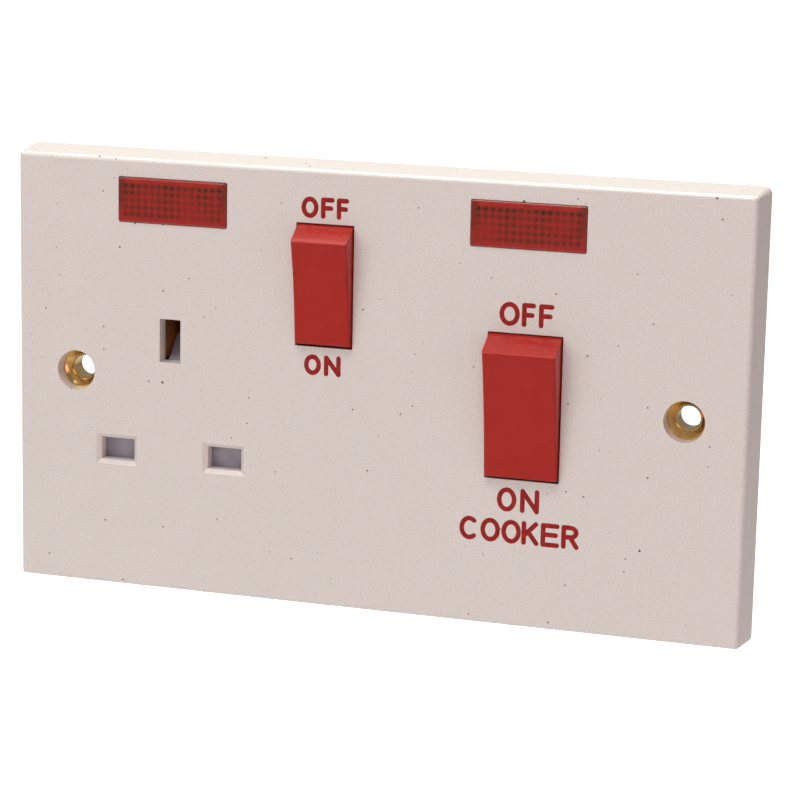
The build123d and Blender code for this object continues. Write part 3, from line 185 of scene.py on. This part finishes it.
def tube_piece(name, tubes, material):
    """One closed piece from a list of tubes, each a grid of points and whether its path is closed."""
    points, faces, start = [], [], 0
    for grid, closed in tubes:
        rows, columns = grid.shape[:2]
        points.append(grid.reshape(-1, 3))
        faces.append(tube_faces(rows, columns, closed) + start)
        start += rows * columns
    mesh = bpy.data.meshes.new(name)
    mesh.from_pydata(np.concatenate(points).tolist(), [], np.concatenate(faces).tolist())
    mesh.shade_smooth()
    mesh_piece(name, mesh, material)


def mesh_piece(name, mesh, material):
    """A piece from a mesh, with its seams joined and its faces outward, riding on the unit."""
    solid = bmesh.new()
    solid.from_mesh(mesh)
    bmesh.ops.remove_doubles(solid, verts=solid.verts, dist=SEAM)
    bmesh.ops.recalc_face_normals(solid, faces=solid.faces)
    solid.to_mesh(mesh)
    solid.free()
    mesh.materials.append(material)
    piece = bpy.data.objects.new(name, mesh)
    bpy.context.scene.collection.objects.link(piece)
    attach(piece, "unit")
    return piece


def shutter_return_spring(steel):
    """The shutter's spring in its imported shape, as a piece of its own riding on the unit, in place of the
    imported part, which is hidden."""
    node, joint = "shutter_spring", "shutter_slide"
    mesh = NODES[node].data.copy()
    mesh.materials.clear()
    piece = mesh_piece("shutter_return_spring", mesh, steel)
    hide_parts(node)
    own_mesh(piece)


# Lettering

def way_along():
    """How far along a stroke its points are, from 0 to 1: half of one less the cosine of even steps of angle.
    They are closer together near both ends."""
    return (1 - np.cos(np.linspace(0, math.pi, POINTS_ALONG))) / 2


def straight(start, end):
    """A stroke's middle line: start and end, each moved out by half a stroke, and joined."""
    way = way_along()[:, None]
    start, end = np.array(start), np.array(end)
    reach = STROKE / 2 * (end - start) / np.linalg.norm(end - start)
    return (start - reach) * (1 - way) + (end + reach) * way


def ellipse(centre, radii, angle):
    """Points of an ellipse: its centre plus its radii times the cosine and sine of the angle."""
    return np.stack([centre[0] + radii[0] * np.cos(angle), centre[1] + radii[1] * np.sin(angle)], axis=1)


def arc(centre, radii, first, last):
    """Part of an ellipse between two angles in degrees."""
    return ellipse(centre, radii, np.radians(first + (last - first) * way_along()))


def ring(centre, radii):
    """A whole ellipse at even angles, without its first point again at the end."""
    return ellipse(centre, radii, np.linspace(0, 2 * math.pi, 2 * POINTS_ALONG, endpoint=False))


def letter_paths(letter, left, right, bottom, top):
    """The middle lines of a letter's strokes, each with whether it is closed, inside the letter's four edges.
    The round strokes of O, C and R are placed by shares of its width and height too."""
    low, high = np.array((left, bottom)) + STROKE / 2, np.array((right, top)) - STROKE / 2
    size = high - low

    def at(across, up):
        return low + size * (across, up)

    if letter == "O":
        return [(ring(at(0.5, 0.5), size / 2), True)]
    if letter == "C":
        return [(arc(at(0.553, 0.5), size * (0.553, 0.5), 36, 324), False)]
    paths = [straight(at(*start), at(*end)) for start, end in (LETTER_STEM, *LETTER_LINES[letter])]
    if letter == "R":
        paths.append(arc(at(0.5, 0.75), size * (0.46, 0.25), 90, -90))
    return [(path, False) for path in paths]


def brush_stroke(path, closed):
    """A stroke of paint on the plate: an ellipse, half a stroke by the paint's thickness, carried along the
    path. Within half a stroke of an open path's end it shrinks to a round end, by the root of one less the
    square of its way into that end."""
    ahead = np.roll(path, -1, axis=0) - np.roll(path, 1, axis=0) if closed else np.gradient(path, axis=0)
    ahead /= np.linalg.norm(ahead, axis=1, keepdims=True)
    across = np.stack([-ahead[:, 1], ahead[:, 0]], axis=1)
    along = np.concatenate([[0.0], np.cumsum(np.linalg.norm(np.diff(path, axis=0), axis=1))])
    half = STROKE / 2
    into_end = np.maximum(np.maximum(half - along, along - along[-1] + half), 0.0) / half
    shrink = np.ones(len(path)) if closed else np.sqrt(np.maximum(1.0 - into_end**2, 0.0))
    angle = np.linspace(0.0, 2 * math.pi, POINTS_ROUND, endpoint=False)
    sideways = half * shrink[:, None] * np.cos(angle)
    proud = PAINT_T * shrink[:, None] * np.sin(angle)
    flat = path[:, None, :] + sideways[..., None] * across[:, None, :]
    return np.stack([flat[..., 0], PLATE_FACE_Y - proud, flat[..., 1]], axis=-1)


def lettering(paint):
    """The words painted on the plate's face, one piece for each word."""
    for name, ((bottom, top), letters) in WORDS.items():
        strokes = []
        for letter, left, right in letters:
            for path, closed in letter_paths(letter, left * MM, right * MM, bottom * MM, top * MM):
                strokes.append((brush_stroke(path, closed), closed))
        tube_piece(name, strokes, paint)


# Material making

def srgb(red, green, blue):
    """A colour given as 0 to 255 on screen, as the shader's own linear levels with full alpha."""
    shown = np.array((red, green, blue)) / 255
    linear = np.where(shown < 0.04045, shown / 12.92, ((shown + 0.055) / 1.055) ** 2.4)
    return [*linear.tolist(), 1.0]


def new_material(name, colour, roughness, **constants):
    """A material with one shader. Constants are the shader's other sockets, with underscores for spaces."""
    material = bpy.data.materials.new(name)
    material.use_nodes = True
    shader = material.node_tree.nodes["Principled BSDF"]
    shader.inputs["Base Color"].default_value = colour
    shader.inputs["Roughness"].default_value = roughness
    for socket, value in constants.items():
        shader.inputs[socket.replace("_", " ")].default_value = value
    return material


def add(material, kind, inputs=None, **settings):
    """Adds a node and returns it. Each input is a value or the output of another node."""
    made = material.node_tree.nodes.new("ShaderNode" + kind)
    for setting, value in settings.items():
        setattr(made, setting, value)
    for socket, value in (inputs or {}).items():
        if isinstance(value, bpy.types.NodeSocket):
            material.node_tree.links.new(value, made.inputs[socket])
        else:
            made.inputs[socket].default_value = value
    return made


def feed(material, socket, output):
    """Joins an output to the shader."""
    shader = material.node_tree.nodes["Principled BSDF"]
    material.node_tree.links.new(output, shader.inputs[socket])


def place(material):
    """Where a point is on the object, in metres."""
    return add(material, "TexCoord").outputs["Object"]


def combined(material, operation, *values):
    """Values added, multiplied or compared, one after another."""
    result = values[0]
    for value in values[1:]:
        result = add(material, "Math", {0: result, 1: value}, operation=operation).outputs[0]
    return result


def part_way(material, value, start, end, reach=1.0):
    """How far a value is from start to end, as 0 to reach, held at both."""
    inputs = {"Value": value, "From Min": start, "From Max": end, "To Max": reach}
    return add(material, "MapRange", inputs).outputs["Result"]


def ramp(material, value, stops):
    """A colour that changes evenly between two stops, each a value and a colour."""
    made = add(material, "ValToRGB", {"Fac": value})
    for element, (position, colour) in zip(made.color_ramp.elements, stops):
        element.position = position
        element.color = colour
    return made.outputs["Color"]


def blend_colours(material, share, under, over):
    """One colour over another by a share."""
    made = add(material, "Mix", {0: share, 6: under, 7: over}, data_type="RGBA")
    return made.outputs[2]


def noise(material, size, detail):
    """Soft noise from 0 to 1 with lumps of a size in metres."""
    inputs = {"Vector": place(material), "Scale": 1 / size, "Detail": detail}
    return add(material, "TexNoise", inputs).outputs["Fac"]


def grain(material, size, depth, strength):
    """A fine bump all over: noise of a grain size, as deep as given, both in metres."""
    height = noise(material, size, 2.0)
    bump = add(material, "Bump", {"Height": height, "Distance": depth, "Strength": strength})
    feed(material, "Normal", bump.outputs["Normal"])


def mottled(material, size, dark, light):
    """A base colour that wanders between two colours over patches of a size in metres."""
    return ramp(material, noise(material, size, 3.0), ((NOISE_LOW, dark), (NOISE_HIGH, light)))


def specks(material, spacing, radius, under, speck):
    """Round specks, up to a radius, scattered over a colour where its surface meets dots strewn in space."""
    cells = add(material, "TexVoronoi", {"Vector": place(material), "Scale": 1 / spacing})
    pick = add(material, "SeparateColor", {"Color": cells.outputs["Color"]})
    reach = combined(material, "MULTIPLY", pick.outputs["Red"], radius / spacing)
    inside = combined(material, "LESS_THAN", cells.outputs["Distance"], reach)
    return blend_colours(material, inside, under, speck)


# Finishes

def plate_finish():
    """Warm white moulding with a fine grain, small dark specks and a few larger ones."""
    material = new_material("warm_white_moulding", srgb(222, 211, 206), 0.24)
    colour = mottled(material, 0.28 * MM, srgb(214, 204, 201), srgb(229, 218, 211))
    colour = specks(material, 3.0 * MM, 0.22 * MM, colour, srgb(130, 110, 103))
    colour = specks(material, 6.0 * MM, 0.32 * MM, colour, srgb(100, 80, 75))
    feed(material, "Base Color", colour)
    grain(material, 0.30 * MM, 0.02 * MM, 0.45)
    return material


def rocker_finish():
    """Deep red moulding with a soft shine."""
    material = new_material("red_moulding", srgb(171, 42, 35), 0.13, Specular_IOR_Level=0.12)
    feed(material, "Base Color", mottled(material, 4 * MM, srgb(169, 41, 34), srgb(173, 44, 36)))
    grain(material, 1.2 * MM, 0.01 * MM, 0.08)
    return material


def painted_prism_shade(material, centred, aside, above, height):
    """How much painted shade shows at a point of a window: a soft dark dot, standing in for a prism behind
    the red, at each step across and up, inside the field, stronger in the top row and in patches."""
    flat = add(material, "VectorMath", {0: centred, 1: (1.0, 0.0, 1.0)}, operation="MULTIPLY").outputs[0]
    shade_dots = add(material, "TexVoronoi", {"Vector": flat, "Scale": 1 / DOT_STEP, "Randomness": 0.0})
    strength = combined(
        material, "ADD",
        part_way(material, height, 0.5 * DOT_STEP, 2.0 * DOT_STEP, TOP_ROW_STRENGTH),
        part_way(material, noise(material, DOT_PATCH, 0.0), NOISE_LOW, NOISE_HIGH, PATCH_STRENGTH),
        DOT_STRENGTH,
    )
    return combined(
        material, "MULTIPLY",
        part_way(material, shade_dots.outputs["Distance"], DOT_RIM, DOT_HEART),
        part_way(material, aside, DOT_FIELD[0], DOT_FIELD[0] - DOT_FIELD_EDGE),
        part_way(material, above, DOT_FIELD[1], DOT_FIELD[1] - DOT_FIELD_EDGE),
        strength,
    )


def window_finish(node):
    """Cloudy red window, polished in front, with painted shade: soft dark dots where the prisms behind the
    red show dark, and a darker brown towards both ends, mostly in its upper part.
    """
    material = new_material("red_window", srgb(172, 36, 29), 0.12, Transmission_Weight=0.3, IOR=1.49)
    low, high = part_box(node)
    middle = (low + high) / 2
    centred = add(material, "VectorMath", {0: place(material), 1: middle}, operation="SUBTRACT").outputs[0]
    unsigned = add(material, "VectorMath", {0: centred}, operation="ABSOLUTE").outputs[0]
    aside, _, above = add(material, "SeparateXYZ", {"Vector": unsigned}).outputs
    height = add(material, "SeparateXYZ", {"Vector": centred}).outputs["Z"]
    # Painted shade: darker brown towards both ends of the window, fading out below its middle.
    wall_shade = combined(
        material, "MULTIPLY",
        part_way(material, aside, DOT_FIELD[0] - DOT_STEP / 2, DOT_FIELD[0], SIDE_SHADE_STRENGTH),
        part_way(material, height, -2.0 * DOT_STEP, 0.0),
    )
    # Painted shade: soft dark brown dots where the prisms behind the red show dark.
    shade_dots = painted_prism_shade(material, centred, aside, above, height)
    colour = blend_colours(material, shade_dots, srgb(184, 48, 39), srgb(66, 48, 30))
    feed(material, "Base Color", blend_colours(material, wall_shade, colour, srgb(84, 50, 32)))
    grain(material, 2.0 * MM, 0.01 * MM, 0.15)
    return material


def paint_finish():
    """Red paint of the lettering."""
    material = new_material("red_paint", srgb(152, 27, 25), 0.5, Specular_IOR_Level=0.2)
    feed(material, "Base Color", mottled(material, 0.5 * MM, srgb(136, 23, 23), srgb(166, 35, 32)))
    return material


def brass_finish():
    """Bright brass with fine scratches and faint tarnish."""
    material = new_material("brass", srgb(226, 188, 122), 0.12, Metallic=1.0)
    feed(material, "Base Color", mottled(material, 5.0 * MM, srgb(212, 170, 104), srgb(234, 198, 134)))
    grain(material, 0.25 * MM, 0.004 * MM, 0.4)
    return material


def bronze_finish():
    """Dull bronze strip."""
    material = new_material("bronze_strip", srgb(196, 122, 70), 0.42, Metallic=0.6)
    grain(material, 0.3 * MM, 0.004 * MM, 0.4)
    return material


def bright_finish(name, colour, roughness):
    """Plated or drawn metal: steel, or the leads' tinned wire."""
    material = new_material(name, colour, roughness, Metallic=1.0)
    grain(material, 0.2 * MM, 0.004 * MM, 0.4)
    return material


def plain_moulding(name, dark, light, roughness):
    """A matt moulding with a faint mottle and grain."""
    material = new_material(name, light, roughness)
    feed(material, "Base Color", mottled(material, 2.5 * MM, dark, light))
    grain(material, 0.4 * MM, 0.015 * MM, 0.5)
    return material


def glass_finish():
    """Clear glass of the lamps."""
    return new_material("lamp_glass", srgb(240, 236, 230), 0.02, Transmission_Weight=1.0, IOR=1.5)


def finishes():
    """The finish of every record slot but the windows'."""
    return {
        "plate_moulding": plate_finish(),
        "rocker_red": rocker_finish(),
        "base_moulding": plain_moulding("dark_moulding", srgb(58, 61, 57), srgb(70, 73, 68), 0.5),
        "holder_moulding": plain_moulding("pale_moulding", srgb(205, 200, 192), srgb(218, 213, 204), 0.5),
        "shutter_moulding": plain_moulding("grey_moulding", srgb(150, 142, 152), srgb(166, 158, 168), 0.4),
        "plunger_nylon": plain_moulding("nylon", srgb(222, 218, 204), srgb(232, 229, 216), 0.4),
        "spring_steel": bright_finish("spring_steel", srgb(190, 190, 194), 0.25),
        "screw_steel": bright_finish("plated_steel", srgb(205, 203, 198), 0.22),
        "brass": brass_finish(),
        "lamp_glass": glass_finish(),
        "resistor_body": plain_moulding("resistor_body", srgb(186, 160, 116), srgb(200, 175, 130), 0.5),
        "lead_wire": bright_finish("tinned_wire", srgb(200, 200, 200), 0.3),
    }


def dress_nodes(made):
    """Gives each node the finish of its slot, a window its own and the sprung contacts their bronze."""
    bronze = bronze_finish()
    for part in frame["record"]["subparts"]:
        node, slot = part["node"], part["material_slot"]
        mesh = NODES[node].data
        mesh.materials.clear()
        if slot == "window_red":
            mesh.materials.append(window_finish(node))
        else:
            mesh.materials.append(bronze if node in SPRUNG_CONTACTS else made[slot])


# Light and camera

def seen_level(tree, light, shine, seen):
    """One level as light, one in reflections, and one as the camera and clear things see it."""
    path = tree.nodes.new("ShaderNodeLightPath")
    result = None
    for ray, value in (("Is Glossy Ray", shine), ("Is Transmission Ray", seen), ("Is Camera Ray", seen)):
        choice = tree.nodes.new("ShaderNodeMix")
        tree.links.new(path.outputs[ray], choice.inputs["Factor"])
        choice.inputs["A"].default_value = light
        choice.inputs["B"].default_value = value
        if result is not None:
            tree.links.new(result, choice.inputs["A"])
        result = choice.outputs["Result"]
    return result


def room():
    """White walls as the camera, reflections and glass see them, and an even dimmer light for the rest."""
    world = bpy.data.worlds.new("studio")
    bpy.context.scene.world = world
    world.use_nodes = True
    tree = world.node_tree
    background = tree.nodes["Background"]
    background.inputs["Color"].default_value = (1, 1, 1, 1)
    tree.links.new(seen_level(tree, ROOM_LIGHT, ROOM_SHINE, ROOM_SEEN), background.inputs["Strength"])


def softbox(name, at, size, watts, colour):
    """A rectangular lamp aimed at the unit."""
    lamp = bpy.data.lights.new(name, "AREA")
    lamp.shape = "RECTANGLE"
    lamp.size, lamp.size_y = size
    lamp.energy = watts
    lamp.color = colour
    holder = bpy.data.objects.new(name, lamp)
    holder.location = at
    holder.rotation_euler = (-Vector(at)).to_track_quat("-Z", "Y").to_euler()
    bpy.context.scene.collection.objects.link(holder)


def floor():
    """A plain pale floor well below the unit, which the camera sees as white."""
    height = CAD_BOX[0].z - FLOOR_DROP
    half = FLOOR_SIDE / 2
    corners = [(x * half, y * half, height) for x, y in ((-1, -1), (1, -1), (1, 1), (-1, 1))]
    mesh = bpy.data.meshes.new("floor")
    mesh.from_pydata(corners, [], [(0, 1, 2, 3)])
    paving = new_material("pale_floor", FLOOR_COLOUR, FLOOR_ROUGHNESS, Emission_Color=FLOOR_COLOUR)
    feed(paving, "Emission Strength", seen_level(paving.node_tree, FLOOR_LIGHT, FLOOR_SHINE, FLOOR_SEEN))
    mesh.materials.append(paving)
    sheet = bpy.data.objects.new("floor", mesh)
    bpy.context.scene.collection.objects.link(sheet)


def camera():
    """The camera, turned round the point it looks at and then rolled about its own line of sight."""
    yaw, pitch, roll = CAMERA_YAW, CAMERA_PITCH, CAMERA_ROLL
    back = Vector((math.sin(yaw) * math.cos(pitch), -math.cos(yaw) * math.cos(pitch), math.sin(pitch)))
    flat = Vector((math.cos(yaw), math.sin(yaw), 0.0))
    rise = back.cross(flat)
    right = math.cos(roll) * flat + math.sin(roll) * rise
    up = -math.sin(roll) * flat + math.cos(roll) * rise
    turn = Matrix((right, up, back)).transposed().to_4x4()
    lens = bpy.data.cameras.new("camera")
    lens.lens = CAMERA_LENS
    lens.clip_start = CAMERA_NEAREST
    holder = bpy.data.objects.new("camera", lens)
    holder.matrix_world = Matrix.Translation(CAMERA_TARGET + back * CAMERA_DISTANCE) @ turn
    bpy.context.scene.collection.objects.link(holder)
    bpy.context.scene.camera = holder


bpy.context.scene.view_settings.view_transform = "Standard"
made_finishes = finishes()
dress_nodes(made_finishes)
shutter_return_spring(made_finishes["spring_steel"])
lettering(paint_finish())
room()
floor()
for lamp_name, lamp_facts in SOFTBOXES.items():
    softbox(lamp_name, *lamp_facts)
camera()
